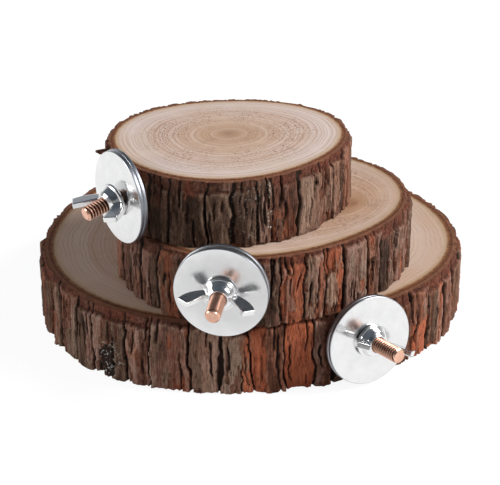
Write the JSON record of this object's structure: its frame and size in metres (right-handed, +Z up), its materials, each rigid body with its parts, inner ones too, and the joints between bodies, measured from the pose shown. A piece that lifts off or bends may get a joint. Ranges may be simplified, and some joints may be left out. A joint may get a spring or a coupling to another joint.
{
  "type": "bird perch",
  "caption": "Stack of round log-slice bird perches with furrowed bark edges; each has a hanger bolt, broad washers and a wing nut that clamp it to cage bars.",
  "frame": {"origin": "middle of the large slice's underside, on the surface the stack stands on", "axes": "+Z up through the stack, -Y towards the front where the bolts point, +X to the right"},
  "size_m": [0.1482, 0.1657, 0.0766],
  "materials": {
    "wood": "sawn, matt",
    "inner_bark": "sawn, matt",
    "outer_bark": "rough bark",
    "zinc_washer": "bright zinc plate, satin",
    "zinc_nut": "bright zinc plate",
    "copper_bolt": "copper-coloured plate, threaded"
  },
  "bodies": {
    "large_perch": {"large_wood": "wood", "large_inner_bark": "inner_bark", "large_outer_bark": "outer_bark", "large_hanger_bolt": "copper_bolt"},
    "large_inner_washer": {"large_inner_washer": "zinc_washer"},
    "large_outer_washer": {"large_outer_washer": "zinc_washer"},
    "large_wing_nut": {"large_wing_nut": "zinc_nut"},
    "medium_perch": {"medium_wood": "wood", "medium_inner_bark": "inner_bark", "medium_outer_bark": "outer_bark", "medium_hanger_bolt": "copper_bolt"},
    "medium_inner_washer": {"medium_inner_washer": "zinc_washer"},
    "medium_outer_washer": {"medium_outer_washer": "zinc_washer"},
    "medium_wing_nut": {"medium_wing_nut": "zinc_nut"},
    "small_perch": {"small_wood": "wood", "small_inner_bark": "inner_bark", "small_outer_bark": "outer_bark", "small_hanger_bolt": "copper_bolt"},
    "small_inner_washer": {"small_inner_washer": "zinc_washer"},
    "small_outer_washer": {"small_outer_washer": "zinc_washer"},
    "small_wing_nut": {"small_wing_nut": "zinc_nut"}
  },
  "joints": [
    {"name": "large_inner_washer_spin", "type": "hinge", "parent": "large_perch", "child": "large_inner_washer", "pos_m": [0.03824, -0.06342, 0.01626], "axis": [0.4841, -0.8734, 0.0523], "continuous": true},
    {"name": "large_outer_washer_slide", "type": "slide", "parent": "large_perch", "child": "large_outer_washer", "axis": [0.5279, -0.8448, 0.0872], "range_m": [0, 0.0106]},
    {"name": "large_wing_nut_spin", "type": "hinge", "parent": "large_outer_washer", "child": "large_wing_nut", "pos_m": [0.03951, -0.06545, 0.01647], "axis": [0.5279, -0.8448, 0.0872], "range_deg": [0, 3601]},
    {"name": "medium_lift", "type": "slide", "parent": "large_perch", "child": "medium_perch", "axis": [0, 0, 1], "range_m": [0, 0.06]},
    {"name": "medium_inner_washer_spin", "type": "hinge", "parent": "medium_perch", "child": "medium_inner_washer", "pos_m": [-0.0078, -0.07379, 0.0394], "axis": [-0.1908, -0.9816, 0], "continuous": true},
    {"name": "medium_outer_washer_slide", "type": "slide", "parent": "medium_perch", "child": "medium_outer_washer", "axis": [-0.1477, -0.9886, -0.0297], "range_m": [0, 0.0106]},
    {"name": "medium_wing_nut_spin", "type": "hinge", "parent": "medium_outer_washer", "child": "medium_wing_nut", "pos_m": [-0.00835, -0.0775, 0.03929], "axis": [-0.1477, -0.9886, -0.0297], "range_deg": [0, 3601]},
    {"name": "small_lift", "type": "slide", "parent": "medium_perch", "child": "small_perch", "axis": [0, 0, 1], "range_m": [0, 0.06]},
    {"name": "small_inner_washer_spin", "type": "hinge", "parent": "small_perch", "child": "small_inner_washer", "pos_m": [-0.03935, -0.05251, 0.06158], "axis": [-0.8385, -0.5446, -0.0175], "continuous": true},
    {"name": "small_outer_washer_slide", "type": "slide", "parent": "small_perch", "child": "small_outer_washer", "axis": [-0.7544, -0.633, -0.1736], "range_m": [0, 0.00636]},
    {"name": "small_wing_nut_spin", "type": "hinge", "parent": "small_outer_washer", "child": "small_wing_nut", "pos_m": [-0.04177, -0.05453, 0.06102], "axis": [-0.7544, -0.633, -0.1736], "range_deg": [0, 2161]}
  ],
  "couplings": [
    {"joint": "large_wing_nut_spin", "follows": "large_outer_washer_slide", "rad_per_m": 5927.5},
    {"joint": "medium_wing_nut_spin", "follows": "medium_outer_washer_slide", "rad_per_m": 5927.5},
    {"joint": "small_wing_nut_spin", "follows": "small_outer_washer_slide", "rad_per_m": 5927.5}
  ]
}
